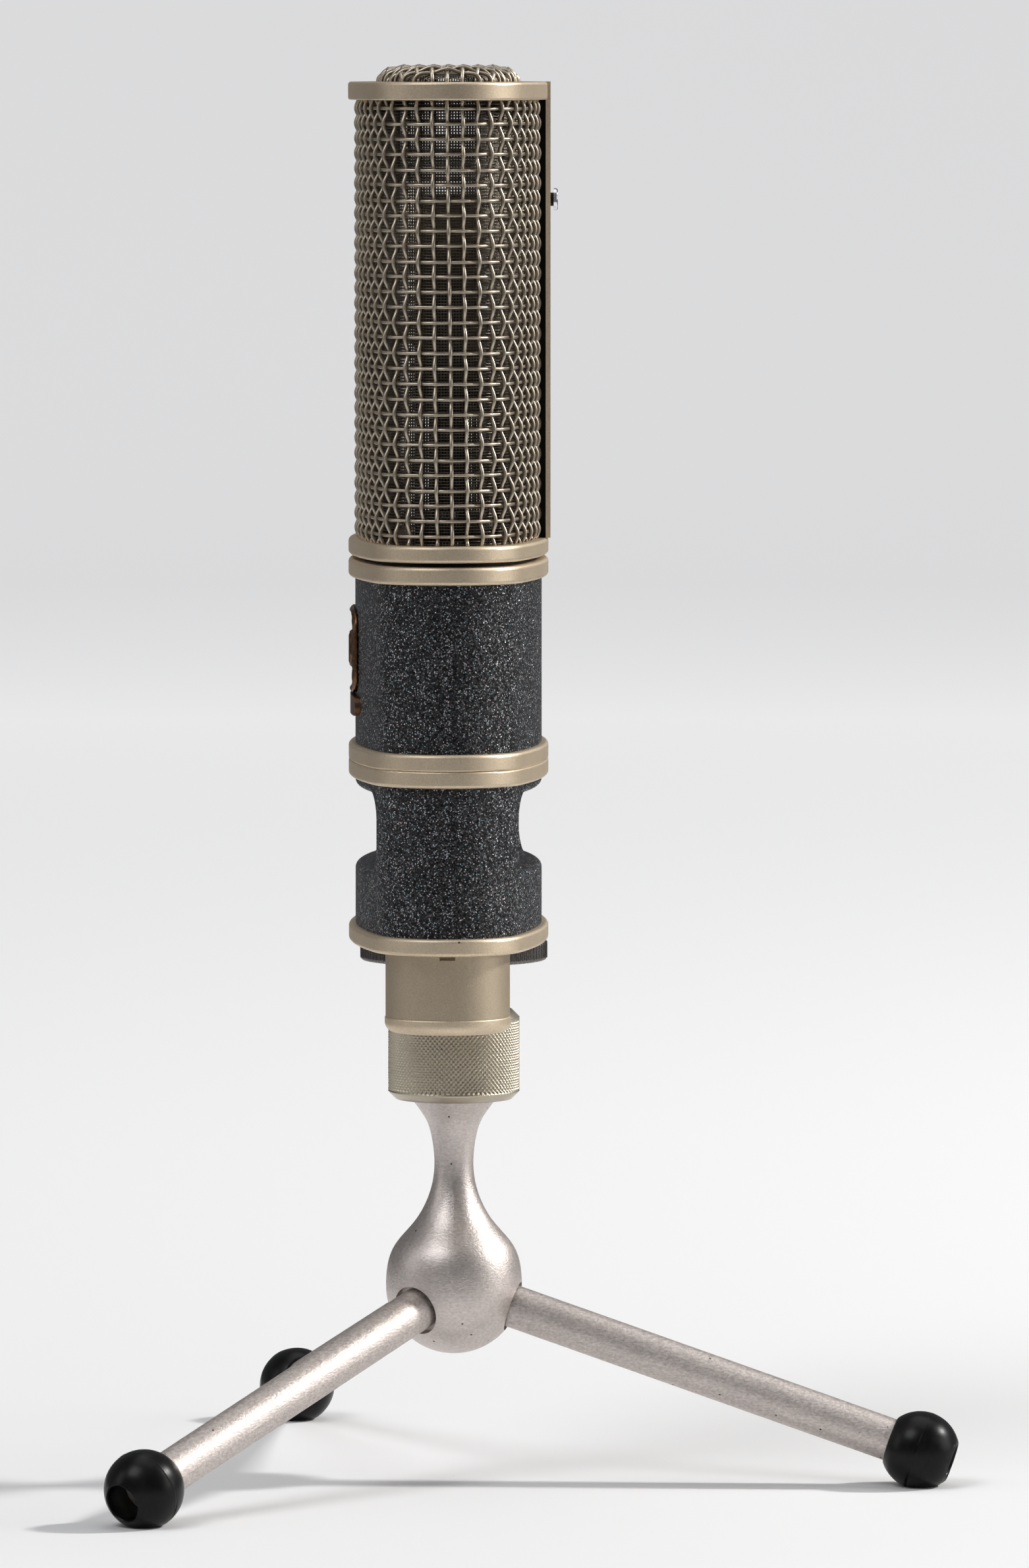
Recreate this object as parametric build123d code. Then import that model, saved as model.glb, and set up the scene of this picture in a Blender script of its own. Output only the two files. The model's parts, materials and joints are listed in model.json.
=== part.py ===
from build123d import *
import math
import os

# A side-address condenser microphone, flat and wide, on a small three-legged desk stand.
# Frame: origin on the floor under the stand's axis, +Z up, the microphone's front faces -Y,
# its width runs along X, and its connector is at the +X end. Millimetres. The microphone's parts
# are drawn about its own middle plane and moved into place at the end.

# ---------------------------------------------------------------- driving dimensions
# Section of the microphone from above: two shallow faces and two round ends
HALF_WIDTH = 36.6
HALF_DEPTH = 15.6
FACE_R = 98.0
FACE_Y = FACE_R - HALF_DEPTH
NOSE_R = (FACE_R**2 - HALF_WIDTH**2 - FACE_Y**2) / (2 * (FACE_R - HALF_WIDTH))
NOSE_X = HALF_WIDTH - NOSE_R

# Insets from the outline of the trim rings
BODY_INSET = 1.05
BODY_WALL = 1.8
RING_WALL = 3.0
MESH_INSET = 0.9
MESH_WALL = 1.15
FINE_INSET = 2.3
FINE_WALL = 0.35
BASKET_WALL = 4.0
DOME_INSET = 4.15

# Heights above the floor
NUT_Z = (59.6, 73.6)
LOCK_Z = (81.5, 84.5)
BOSS_Z = (72.4, 84.8)
BOSS_SEAM_Z = 74.8
BASE_Z = (84.8, 87.5)
LOWER_Z = (87.5, 110.6)
WINDOW_Z = (97.0, 109.0)
SEAM_Z = 113.2
UPPER_Z = (115.8, 141.7)
TOP_RING_BODY_Z = (141.7, 144.5)
GROOVE_Z = (144.5, 145.1)
BASKET_RING_Z = (145.1, 147.7)
MESH_Z = (147.7, 215.7)
CAP_RING_Z = (215.7, 218.5)
DOME_TOP_Z = 221.2

# Stand
BALL_Z = 30.1
BALL_R = 10.66
SHOULDER_Z = 59.5
SHOULDER_R = 6.6
STUD_R = 4.76
STUD_TOP_Z = 65.5
LEG_R = 3.35
LEG_ANGLES = (-39.3, 80.7, 200.7)
FOOT_CIRCLE_R = 73.7
FOOT_R = 6.12
FOOT_Z = 5.6
COLLAR = 4.9
SOCKET_R = 4.0
SPIGOT_R = 2.0
FOOT_HOLE_R = 2.9

# Nut, post and lock ring
NUT_R = 10.3
NUT_CHAMFER = 1.2
POST_R = 7.94
POST_BOTTOM_Z = 66.6
LOCK_R = 14.65
RUNNING_GAP = 0.05
# The post, which is on the stand's axis, stands this far behind the microphone's middle plane
POST_Y = 0.8

# Connector
BOSS_R = 9.6
WELL_R = 8.0
PIN_R = 1.2
PIN_CIRCLE_R = 3.95
WELL_TOP_Z = 83.0
INSERT_TOP_Z = 90.5

# Window through the lower body
WINDOW_HALF_WIDTH = 25.0
WINDOW_CORNER_R = 4.0
WINDOW_EDGE_R = 1.0

# Capsule
CAPSULE_Z = 184.0
CAPSULE_R = 17.0
PLATE_R = 15.0
PLATE_HALF = 3.5
FILM = 0.15
CLAMP_INNER_R = 13.0
CLAMP_T = 1.55

SOFT_EDGE = 0.6
FIT = 0.05


# ---------------------------------------------------------------- basic shapes
def section(inset):
    """The microphone's outline from above, moved in from the trim rings' outline."""
    k = (FACE_R - inset) / (FACE_R - NOSE_R)
    tx, ty = NOSE_X * k, FACE_Y * (k - 1)
    y, x = HALF_DEPTH - inset, HALF_WIDTH - inset
    outline = ThreePointArc((-tx, ty), (0, y), (tx, ty))
    outline += ThreePointArc((tx, ty), (x, 0), (tx, -ty))
    outline += ThreePointArc((tx, -ty), (0, -y), (-tx, -ty))
    outline += ThreePointArc((-tx, -ty), (-x, 0), (-tx, ty))
    return make_face(outline)


def slab(inset, z0, z1):
    """A solid with the microphone's outline between two heights."""
    return extrude(Pos(0, 0, z0) * section(inset), amount=z1 - z0, dir=(0, 0, 1))


def rounded_slab(inset, z0, z1, low_r, high_r):
    """A slab whose lower and upper outer edges are rounded."""
    shape = slab(inset, z0, z1)
    if high_r:
        shape = fillet(shape.edges().group_by(Axis.Z)[-1], high_r)
    if low_r:
        shape = fillet(shape.edges().group_by(Axis.Z)[0], low_r)
    return shape


def trim_ring(z0, z1, wall, low_r=SOFT_EDGE, high_r=SOFT_EDGE):
    """One satin trim ring with soft outer edges."""
    return rounded_slab(0, z0, z1, low_r, high_r) - slab(wall, z0 - 1, z1 + 1)


def disc(radius, z0, z1, x=0, y=0):
    return Pos(x, y, (z0 + z1) / 2) * Cylinder(radius, z1 - z0)


def tube(outer, inner, z0, z1, x=0, y=0):
    return disc(outer, z0, z1, x, y) - disc(inner, z0 - 1, z1 + 1, x, y)


def drum(radius, y0, y1, x=0, z=0):
    """A cylinder lying along Y."""
    return Pos(x, (y0 + y1) / 2, z) * Rot(X=90) * Cylinder(radius, y1 - y0)


def block(x0, x1, y0, y1, z0, z1):
    middle = Pos((x0 + x1) / 2, (y0 + y1) / 2, (z0 + z1) / 2)
    return middle * Box(x1 - x0, y1 - y0, z1 - z0)


def screw(x, y, z_head, head_r, head_h, shank_r, length, up=1):
    """A plain screw: its head starts at z_head, and its shank runs the other way from up."""
    head = disc(head_r, *sorted((z_head, z_head + up * head_h)), x, y)
    return head + disc(shank_r, *sorted((z_head, z_head - up * length)), x, y)


def wire(points, radius, bend):
    """A lead along straight runs with tangent bends."""
    path = FilletPolyline(*points, radius=bend)
    return sweep(Plane(path @ 0, z_dir=path % 0) * Circle(radius), path=path)


def write(name, shape):
    """Writes one node: a single solid, or a group of separate solids."""
    solids = shape if isinstance(shape, list) else [shape]
    solids = [s for item in solids for s in item.solids()]
    whole = solids[0] if len(solids) == 1 else Compound(children=solids)
    export_step(whole, f"parts/{name}.step")


# ---------------------------------------------------------------- stand
def leg_frame(angle):
    """A plane whose Z runs along a leg, from the ball's centre out to the foot."""
    a = math.radians(angle)
    out = Vector(FOOT_CIRCLE_R * math.cos(a), FOOT_CIRCLE_R * math.sin(a), FOOT_Z - BALL_Z)
    return Plane((0, 0, BALL_Z), x_dir=(-math.sin(a), math.cos(a), 0), z_dir=out)


LEG_REACH = math.hypot(FOOT_CIRCLE_R, BALL_Z - FOOT_Z)
SOCKET_FLOOR = 8.6


def tripod_hub():
    low = BALL_Z - math.sqrt(BALL_R**2 - 1)
    half = math.radians(-45)
    mid = (BALL_R * math.cos(half), BALL_Z + BALL_R * math.sin(half))
    profile = Line((0, low), (1, low))
    profile += ThreePointArc((1, low), mid, (BALL_R, BALL_Z))
    profile += Spline(
        (BALL_R, BALL_Z), (9.3, 36.4), (6.33, 40.0), (3.75, 44.9), (3.05, 49.6),
        (3.76, 54.7), (SHOULDER_R, SHOULDER_Z),
        tangents=((0, 1), (0.75, 1)),
    )
    profile += Polyline(
        (SHOULDER_R, SHOULDER_Z), (STUD_R, SHOULDER_Z), (STUD_R, STUD_TOP_Z - 0.6),
        (STUD_R - 0.6, STUD_TOP_Z), (0, STUD_TOP_Z), (0, low),
    )
    hub = revolve(Plane.XZ * make_face(profile), axis=Axis.Z)
    for angle in LEG_ANGLES:
        frame = leg_frame(angle)
        hub -= frame * disc(SOCKET_R, SOCKET_FLOOR, BALL_R + 5)
        hub -= frame * disc(SPIGOT_R + FIT, 3.4, SOCKET_FLOOR + 1)
    return hub


def leg(angle):
    rod = disc(LEG_R, SOCKET_FLOOR + 0.2, LEG_REACH + 0.8)
    rod = chamfer(rod.edges().filter_by(GeomType.CIRCLE), 0.35)
    rod += disc(SPIGOT_R, 3.6, SOCKET_FLOOR + 0.5)
    return leg_frame(angle) * rod


def foot(angle):
    frame = leg_frame(angle)
    a = math.radians(angle)
    ball = Pos(FOOT_CIRCLE_R * math.cos(a), FOOT_CIRCLE_R * math.sin(a), FOOT_Z) * Sphere(FOOT_R)
    ball -= frame * disc(2 * FOOT_R, LEG_REACH - 3 * FOOT_R, LEG_REACH - COLLAR)
    ball -= frame * disc(LEG_R, LEG_REACH - FOOT_R, LEG_REACH + 1.0)
    ball -= frame * disc(FOOT_HOLE_R, LEG_REACH, LEG_REACH + 2 * FOOT_R)
    return ball - block(-200, 200, -200, 200, -20, 0)


# ---------------------------------------------------------------- nut, post and lock ring
def stand_nut():
    nut = chamfer(disc(NUT_R, *NUT_Z).edges().filter_by(GeomType.CIRCLE), NUT_CHAMFER)
    nut -= disc(STUD_R + RUNNING_GAP, NUT_Z[0] - 1, 67)
    return nut - disc(POST_R + RUNNING_GAP, 66, NUT_Z[1] + 1)


FLANGE_R = 10.5
POST_SCREW_R = 9.25


def post_screw_places():
    return [
        (POST_SCREW_R * math.cos(math.radians(a)), POST_SCREW_R * math.sin(math.radians(a)))
        for a in (90, 180, 270)
    ]


def mount_post():
    post = disc(POST_R, POST_BOTTOM_Z, BASE_Z[1] + 0.1)
    post = chamfer(post.edges().group_by(Axis.Z)[0], 0.6)
    post += disc(FLANGE_R, BASE_Z[1], BASE_Z[1] + 2)
    for x, y in post_screw_places():
        post -= disc(0.8 + FIT, BASE_Z[1] - 1, BASE_Z[1] + 3, x, y)
    return post


def post_screws():
    top = BASE_Z[1] + 2
    return [screw(x, y, top, 1.15, 0.8, 0.8, 3.4) for x, y in post_screw_places()]


def lock_ring():
    ring = chamfer(disc(LOCK_R, *LOCK_Z).edges().filter_by(GeomType.CIRCLE), 0.3)
    return ring - disc(POST_R + RUNNING_GAP, LOCK_Z[0] - 1, LOCK_Z[1] + 1)


# ---------------------------------------------------------------- base and connector
BASE_SCREWS = [(-28.0, 0.0), (-16.0, 9.4), (-16.0, -9.4), (16.0, 9.4), (16.0, -9.4)]
BASE_SCREW_R = 1.2
SPIGOT_TUBE_R = 8.8


def base_plate():
    plate = slab(2.5, *BASE_Z)
    plate -= disc(POST_R + FIT, BASE_Z[0] - 1, BASE_Z[1] + 1, 0, POST_Y)
    plate -= disc(SPIGOT_TUBE_R + FIT, BASE_Z[0] - 1, BASE_Z[1] + 1, NOSE_X)
    for x, y in post_screw_places():
        plate -= disc(0.8 + FIT, BASE_Z[1] - 1.6, BASE_Z[1] + 1, x, y + POST_Y)
    for x, y in BASE_SCREWS:
        plate -= disc(2.0 + FIT, BASE_Z[0] - 1, BASE_Z[0] + 1.2, x, y)
        plate -= disc(BASE_SCREW_R + FIT, BASE_Z[0], BASE_Z[1] + 1, x, y)
    return plate


def base_screws():
    seat = BASE_Z[0] + 1.15
    screws = []
    for x, y in BASE_SCREWS:
        one = screw(x, y, seat, 2.0, 1.1, BASE_SCREW_R, 7.0, up=-1)
        screws.append(one - block(x - 0.3, x + 0.3, y - 1.4, y + 1.4, seat - 1.2, seat - 0.6))
    return screws


def xlr_shell():
    shell = tube(BOSS_R, WELL_R, BOSS_SEAM_Z, BOSS_Z[1], NOSE_X)
    shell += tube(SPIGOT_TUBE_R, WELL_R, BOSS_Z[1] - 1, INSERT_TOP_Z - 1, NOSE_X)
    notch = NOSE_X + BOSS_R
    return shell - block(notch - 1.1, notch + 1, -1.2, 1.2, BOSS_Z[1] - 0.7, BOSS_Z[1])


def xlr_end_ring():
    ring = disc(BOSS_R + 0.12, BOSS_Z[0], BOSS_SEAM_Z, NOSE_X)
    ring = fillet(ring.edges().filter_by(GeomType.CIRCLE).group_by(Axis.Z)[0], 1.5)
    ring = fillet(ring.edges().filter_by(GeomType.CIRCLE).group_by(Axis.Z)[-1], 0.25)
    return ring - disc(WELL_R, BOSS_Z[0] - 1, BOSS_SEAM_Z + 1, NOSE_X)


def pin_places():
    return [
        (NOSE_X + PIN_CIRCLE_R * math.cos(math.radians(a)), PIN_CIRCLE_R * math.sin(math.radians(a)))
        for a in (0, 180, 270)
    ]


def xlr_insert():
    insert = disc(WELL_R - FIT, WELL_TOP_Z, INSERT_TOP_Z, NOSE_X)
    for x, y in pin_places():
        insert -= disc(PIN_R + 0.02, WELL_TOP_Z - 1, INSERT_TOP_Z + 1, x, y)
    return insert


def xlr_pins():
    pins = []
    for x, y in pin_places():
        pin = disc(PIN_R, 75.2, INSERT_TOP_Z + 1, x, y)
        pins.append(fillet(pin.edges().group_by(Axis.Z)[0], 0.9))
    return pins


WIRE_R = 0.45
ARM_X = 30.0
WIRE_PLACES = [(ARM_X + 1.0, 0.0), (ARM_X - 0.6, 1.0), (ARM_X - 0.6, -1.0)]
CONNECTOR_X = 25.0


def xlr_wires():
    """Three leads from the pins, up through the arm of the lower body, to the board."""
    leads = []
    for i, ((px, py), (wx, wy)) in enumerate(zip(pin_places(), WIRE_PLACES)):
        turn = INSERT_TOP_Z + 1.6 + 0.3 * i
        board_z = 120.2 + 1.3 * i
        points = [
            (px, py, INSERT_TOP_Z + 1), (px, py, turn), (wx, wy, turn + 0.8),
            (wx, wy, board_z), (CONNECTOR_X + 0.2, -0.8, board_z),
        ]
        leads.append(wire(points, WIRE_R, 0.55))
    return leads


# ---------------------------------------------------------------- lower body
POCKET_TOP_Z = 94.5


def window():
    """The rounded window that runs right through the lower body, front to back."""
    hole = block(-WINDOW_HALF_WIDTH, WINDOW_HALF_WIDTH, -40, 40, *WINDOW_Z)
    return fillet(hole.edges().filter_by(Axis.Y), WINDOW_CORNER_R)


def on_window_rim(edge):
    """True for the edges where the window leaves the front and back faces."""
    middle = edge @ 0.5
    inside = WINDOW_Z[0] - 0.1 < middle.Z < WINDOW_Z[1] + 0.1
    return inside and abs(middle.X) < WINDOW_HALF_WIDTH + 0.1 and abs(middle.Y) > HALF_DEPTH / 2


def lower_body():
    body = slab(BODY_INSET, *LOWER_Z) - window()
    body = fillet([e for e in body.edges() if on_window_rim(e)], WINDOW_EDGE_R)
    pocket = slab(BODY_INSET + 2.0, LOWER_Z[0] - 1, POCKET_TOP_Z)
    for x, y in BASE_SCREWS:
        pocket -= disc(2.6, LOWER_Z[0] - 2, POCKET_TOP_Z + 1, x, y)
    body -= pocket
    for x, y in BASE_SCREWS:
        body -= disc(BASE_SCREW_R + FIT, LOWER_Z[0] - 1, 94, x, y)
    body -= disc(2.1, POCKET_TOP_Z - 1, LOWER_Z[1] + 1, ARM_X)
    for x, y in JOINT_SCREWS:
        body -= disc(1.0 + FIT, LOWER_Z[1] - 1.3, LOWER_Z[1] + 1, x, y)
    return body


JOINT_SCREWS = [(-28.5, 0.0), (-12.0, 8.5), (-12.0, -8.5), (12.0, 8.5), (12.0, -8.5)]


def deck(z0, z1):
    """A plate inside a trim ring, with the wire hole and the joint screws' holes."""
    plate = slab(RING_WALL, z0, z1)
    plate -= disc(2.1, z0 - 1, z1 + 1, ARM_X)
    for x, y in JOINT_SCREWS:
        plate -= disc(1.0 + FIT, z0 - 1, z1 + 1, x, y)
    return plate


def joint_screws():
    return [screw(x, y, UPPER_Z[0], 1.8, 1.0, 1.0, 6.0) for x, y in JOINT_SCREWS]


# ---------------------------------------------------------------- upper body and electronics
def upper_body():
    return slab(BODY_INSET, *UPPER_Z) - slab(BODY_INSET + BODY_WALL, UPPER_Z[0] - 1, UPPER_Z[1] + 1)


BADGE_PLATE_Z = (123.6, 136.8)
BADGE_BAR_Z = (120.3, 123.3)


def front_skin(proud_from, proud_to, z0, z1):
    """A layer that follows the front face of the body, between two heights above it."""
    skin = slab(BODY_INSET - proud_to, z0, z1) - slab(BODY_INSET - proud_from, z0 - 1, z1 + 1)
    return skin - block(-50, 50, 0, 50, z0 - 2, z1 + 2)


def plate_outline(half_width, z0, z1, corner):
    """A rounded rectangle in the XZ plane, run along Y."""
    bar = block(-half_width, half_width, -30, 0, z0, z1)
    return fillet(bar.edges().filter_by(Axis.Y), corner)


def badge_plate():
    z0, z1 = BADGE_PLATE_Z
    mid = (z0 + z1) / 2
    plate = front_skin(0, 0.55, z0, z1) & plate_outline(11, z0, z1, 4)
    rim = plate_outline(11, z0, z1, 4) - plate_outline(10.1, z0 + 0.9, z1 - 0.9, 3.1)
    plate += front_skin(0.5, 0.9, z0, z1) & rim
    boss = front_skin(0.5, 1.05, mid - 3, mid + 3) & drum(3, -30, 0, 0, mid)
    return plate + boss


def badge_bar():
    z0, z1 = BADGE_BAR_Z
    return front_skin(0, 0.8, z0, z1) & plate_outline(13, z0, z1, 1.4)


BOARD = {"x": 26.0, "y": (1.2, 2.8), "z": (118.0, 139.0)}
BRACKET_X = (-20.0, 12.0)


def board_screw_places():
    return [(x, 124.5) for x in BRACKET_X]


def circuit_board():
    board = block(-BOARD["x"], BOARD["x"], *BOARD["y"], *BOARD["z"])
    for x, z in board_screw_places():
        board -= drum(1.0 + FIT, 0, 4, x, z)
    return board


def board_brackets():
    y = BOARD["y"][1]
    brackets = []
    for x, z in board_screw_places():
        bracket = block(x - 4, x + 4, y, y + 1, UPPER_Z[0], z + 3)
        bracket += block(x - 4, x + 4, y, y + 3.6, UPPER_Z[0], UPPER_Z[0] + 1)
        brackets.append(bracket - drum(1.0 + FIT, y - 1, y + 2, x, z))
    return brackets


def board_screws():
    y = BOARD["y"][0]
    return [
        drum(1.8, y - 1.0, y, x, z) + drum(1.0, y - 0.5, y + 3.6, x, z)
        for x, z in board_screw_places()
    ]


def board_connector():
    return block(18.5, CONNECTOR_X, -2.6, BOARD["y"][0], 118.8, 124.2)


def capacitors():
    y = BOARD["y"][0]
    cans = [drum(3.0, y - 9, y, x, z) for x, z in ((-14, 133), (-6, 133), (3, 134))]
    cans = [fillet(c.edges().group_by(Axis.Y)[0], 0.4) for c in cans]
    films = [block(x, x + 7, y - 4, y, 120, 126) for x in (-13, -4)]
    return cans + films


def transistors():
    y = BOARD["y"][0]
    return [drum(2.3, y - 4.6, y, x, 134) - block(x - 3, x + 3, -9, 9, 135, 140) for x in (11, 18)]


def transformer_core():
    outer = block(-11, 6, 3.6, 11.0, 126.8, 138.8)
    return outer - block(-8.2, -4.0, 3, 12, 129.6, 136.0) - block(-1.0, 3.2, 3, 12, 129.6, 136.0)


def transformer_coil():
    coil = block(-8.1, 3.1, BOARD["y"][1], 11.6, 129.7, 135.9)
    return coil - block(-4.05, -0.95, 3.55, 11.05, 129, 137)


# ---------------------------------------------------------------- top of the body and basket
BASKET_SCREWS = [(-27.0, 0.0), (27.0, 0.0)]
LEAD_X = 4.0
LEAD_Y = 7.4
ROD_PLACES = [(-18.0, 9.2), (18.0, 9.2)]
ROD_R = 1.5


def body_deck():
    plate = slab(RING_WALL, TOP_RING_BODY_Z[0], GROOVE_Z[1])
    for x, y in BASKET_SCREWS:
        plate -= disc(1.2 + FIT, TOP_RING_BODY_Z[0] - 1, GROOVE_Z[1] + 1, x, y)
    return plate - lead_holes(TOP_RING_BODY_Z[0] - 1, GROOVE_Z[1] + 1)


def lead_holes(z0, z1):
    return disc(0.8, z0, z1, LEAD_X, LEAD_Y) + disc(0.8, z0, z1, -LEAD_X, LEAD_Y)


def groove_gasket():
    return slab(1.7, *GROOVE_Z) - slab(RING_WALL, GROOVE_Z[0] - 1, GROOVE_Z[1] + 1)


FLOOR_TOP_Z = 146.9


def basket_floor():
    plate = slab(BASKET_WALL, BASKET_RING_Z[0], FLOOR_TOP_Z)
    for x, y in BASKET_SCREWS:
        plate -= disc(1.2 + FIT, BASKET_RING_Z[0] - 1, FLOOR_TOP_Z + 1, x, y)
    for x, y in SADDLE_SCREWS:
        plate -= disc(0.9 + FIT, BASKET_RING_Z[0] - 1, FLOOR_TOP_Z + 1, x, y)
    return plate - lead_holes(BASKET_RING_Z[0] - 1, FLOOR_TOP_Z + 1)


def basket_screws():
    return [screw(x, y, FLOOR_TOP_Z, 2.1, 1.1, 1.2, 5.2) for x, y in BASKET_SCREWS]


def basket_rods():
    return [disc(ROD_R, MESH_Z[0], MESH_Z[1], x, y) for x, y in ROD_PLACES]


def woven_wall(inset, wall):
    """The plain envelope of a wire mesh wall."""
    return slab(inset, *MESH_Z) - slab(inset + wall, MESH_Z[0] - 1, MESH_Z[1] + 1)


def outer_mesh():
    """The woven wall, parted at the back, where the strip's backing closes it."""
    return woven_wall(MESH_INSET, MESH_WALL) - strip_backing_block()


def top_ring():
    """The cap's ring, with a pad at the back that covers the end of the rear strip."""
    pad = block(-STRIP_HALF, STRIP_HALF, HALF_DEPTH - 2, STRIP_Y[1], *CAP_RING_Z)
    return trim_ring(*CAP_RING_Z, DOME_INSET, 0.35, 0.5) + pad


def top_mesh():
    low, inner = CAP_RING_Z[0], DOME_INSET + 1.15
    dome = rounded_slab(DOME_INSET, low, DOME_TOP_Z, 0, 2.6)
    return dome - rounded_slab(inner, low - 1, DOME_TOP_Z - 1.15, 0, 1.5)


STRIP_HALF = 6.0
STRIP_Y = (15.15, 15.9)
BACKING_Y = 13.3
REAR_SCREW_Z = 200.2


def rear_strip():
    strip = block(-STRIP_HALF, STRIP_HALF, *STRIP_Y, *MESH_Z)
    return strip - drum(0.55, 14, 17, 0, REAR_SCREW_Z)


def strip_backing_block():
    return block(1 - STRIP_HALF, STRIP_HALF - 1, BACKING_Y, STRIP_Y[0], *MESH_Z)


def strip_backing():
    return strip_backing_block() - drum(0.55, BACKING_Y - 1, STRIP_Y[0] + 1, 0, REAR_SCREW_Z)


def rear_spacer():
    y = STRIP_Y[1]
    return drum(1.05, y, y + 0.5, 0, REAR_SCREW_Z) - drum(0.55, y - 1, y + 1, 0, REAR_SCREW_Z)


def rear_screw():
    y = STRIP_Y[1] + 0.5
    head = drum(1.7, y, y + 0.65, 0, REAR_SCREW_Z)
    head = fillet(head.edges().group_by(Axis.Y)[-1], 0.3)
    head -= block(-1.1, 1.1, y + 0.4, y + 1, REAR_SCREW_Z - 0.2, REAR_SCREW_Z + 0.2)
    return head + drum(0.5, 13.4, y + 0.1, 0, REAR_SCREW_Z)


# ---------------------------------------------------------------- capsule
CLAMP_SCREW_R = 15.9
SADDLE_SCREWS = [(-9.0, 0.0), (9.0, 0.0)]
DAMPER_Z = (146.9, 148.9)


def around_capsule(count, radius):
    step = 2 * math.pi / count
    return [
        (radius * math.cos(i * step + 0.4), CAPSULE_Z + radius * math.sin(i * step + 0.4))
        for i in range(count)
    ]


def capsule_ring():
    y = PLATE_HALF + FILM
    ring = drum(CAPSULE_R, -y, y, 0, CAPSULE_Z) - drum(PLATE_R, -9, 9, 0, CAPSULE_Z)
    for x, z in around_capsule(6, CLAMP_SCREW_R):
        ring -= drum(0.4 + FIT, -9, 9, x, z)
    return ring


def capsule_backplate():
    plate = drum(PLATE_R - FIT, -PLATE_HALF, PLATE_HALF, 0, CAPSULE_Z)
    for radius, count in ((4, 6), (9, 12)):
        for x, z in around_capsule(count, radius):
            plate -= drum(0.6, -PLATE_HALF - 1, -PLATE_HALF + 1.5, x, z)
    return plate


def diaphragms():
    outer = PLATE_HALF + FILM
    return [
        drum(PLATE_R - FIT, y0, y1, 0, CAPSULE_Z)
        for y0, y1 in ((-outer, -PLATE_HALF), (PLATE_HALF, outer))
    ]


def clamp_rings():
    rings = []
    low = PLATE_HALF + FILM
    for y0, y1 in ((-low - CLAMP_T, -low), (low, low + CLAMP_T)):
        ring = drum(CAPSULE_R, y0, y1, 0, CAPSULE_Z) - drum(CLAMP_INNER_R, y0 - 1, y1 + 1, 0, CAPSULE_Z)
        for x, z in around_capsule(6, CLAMP_SCREW_R):
            ring -= drum(0.4 + FIT, y0 - 1, y1 + 1, x, z)
        rings.append(ring)
    return rings


def clamp_screws():
    face = PLATE_HALF + FILM + CLAMP_T
    screws = []
    for x, z in around_capsule(6, CLAMP_SCREW_R):
        front = drum(0.75, -face - 0.5, -face, x, z) + drum(0.4, -face - 0.1, -1, x, z)
        back = drum(0.75, face, face + 0.5, x, z) + drum(0.4, 1, face + 0.1, x, z)
        screws += [front, back]
    return screws


def capsule_saddle():
    yoke = drum(CAPSULE_R + 1.9, -3, 3, 0, CAPSULE_Z) - drum(CAPSULE_R + FIT, -4, 4, 0, CAPSULE_Z)
    yoke -= block(-30, 30, -10, 10, CAPSULE_Z + 2, CAPSULE_Z + 40)
    stem = block(-4, 4, -2.5, 2.5, DAMPER_Z[1], CAPSULE_Z - CAPSULE_R - 0.5)
    foot_plate = block(-13, 13, -5, 5, DAMPER_Z[1], DAMPER_Z[1] + 2)
    foot_plate = fillet(foot_plate.edges().filter_by(Axis.Z), 2)
    for x, y in SADDLE_SCREWS:
        foot_plate -= disc(0.9 + FIT, DAMPER_Z[0], DAMPER_Z[1] + 3, x, y)
    return yoke + stem + foot_plate


def saddle_damper():
    pad = block(-13, 13, -5, 5, *DAMPER_Z)
    pad = fillet(pad.edges().filter_by(Axis.Z), 2)
    for x, y in SADDLE_SCREWS:
        pad -= disc(0.9 + FIT, DAMPER_Z[0] - 1, DAMPER_Z[1] + 1, x, y)
    return pad


def saddle_screws():
    top = DAMPER_Z[1] + 2
    return [screw(x, y, top, 1.6, 1.0, 0.9, 5.4) for x, y in SADDLE_SCREWS]


def capsule_leads():
    """Two leads from the back of the capsule down to the top of the board."""
    back = PLATE_HALF + FILM + CLAMP_T
    start_z = CAPSULE_Z - 14.5
    board_y = sum(BOARD["y"]) / 2
    leads = []
    for x in (-LEAD_X, LEAD_X):
        points = [
            (x, back, start_z), (x, LEAD_Y, start_z), (x, LEAD_Y, 140.3),
            (x, board_y, 140.3), (x, board_y, BOARD["z"][1]),
        ]
        leads.append(wire(points, 0.4, 0.6))
    return leads


# ---------------------------------------------------------------- all nodes
def stand_nodes():
    """What stands on the stand's axis."""
    nodes = {"tripod_hub": tripod_hub()}
    for i, angle in enumerate(LEG_ANGLES, 1):
        nodes[f"leg_{i}"] = leg(angle)
        nodes[f"foot_{i}"] = foot(angle)
    nodes |= {
        "stand_nut": stand_nut(),
        "mount_post": mount_post(),
        "post_screws": post_screws(),
        "lock_ring": lock_ring(),
    }
    return nodes


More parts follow.
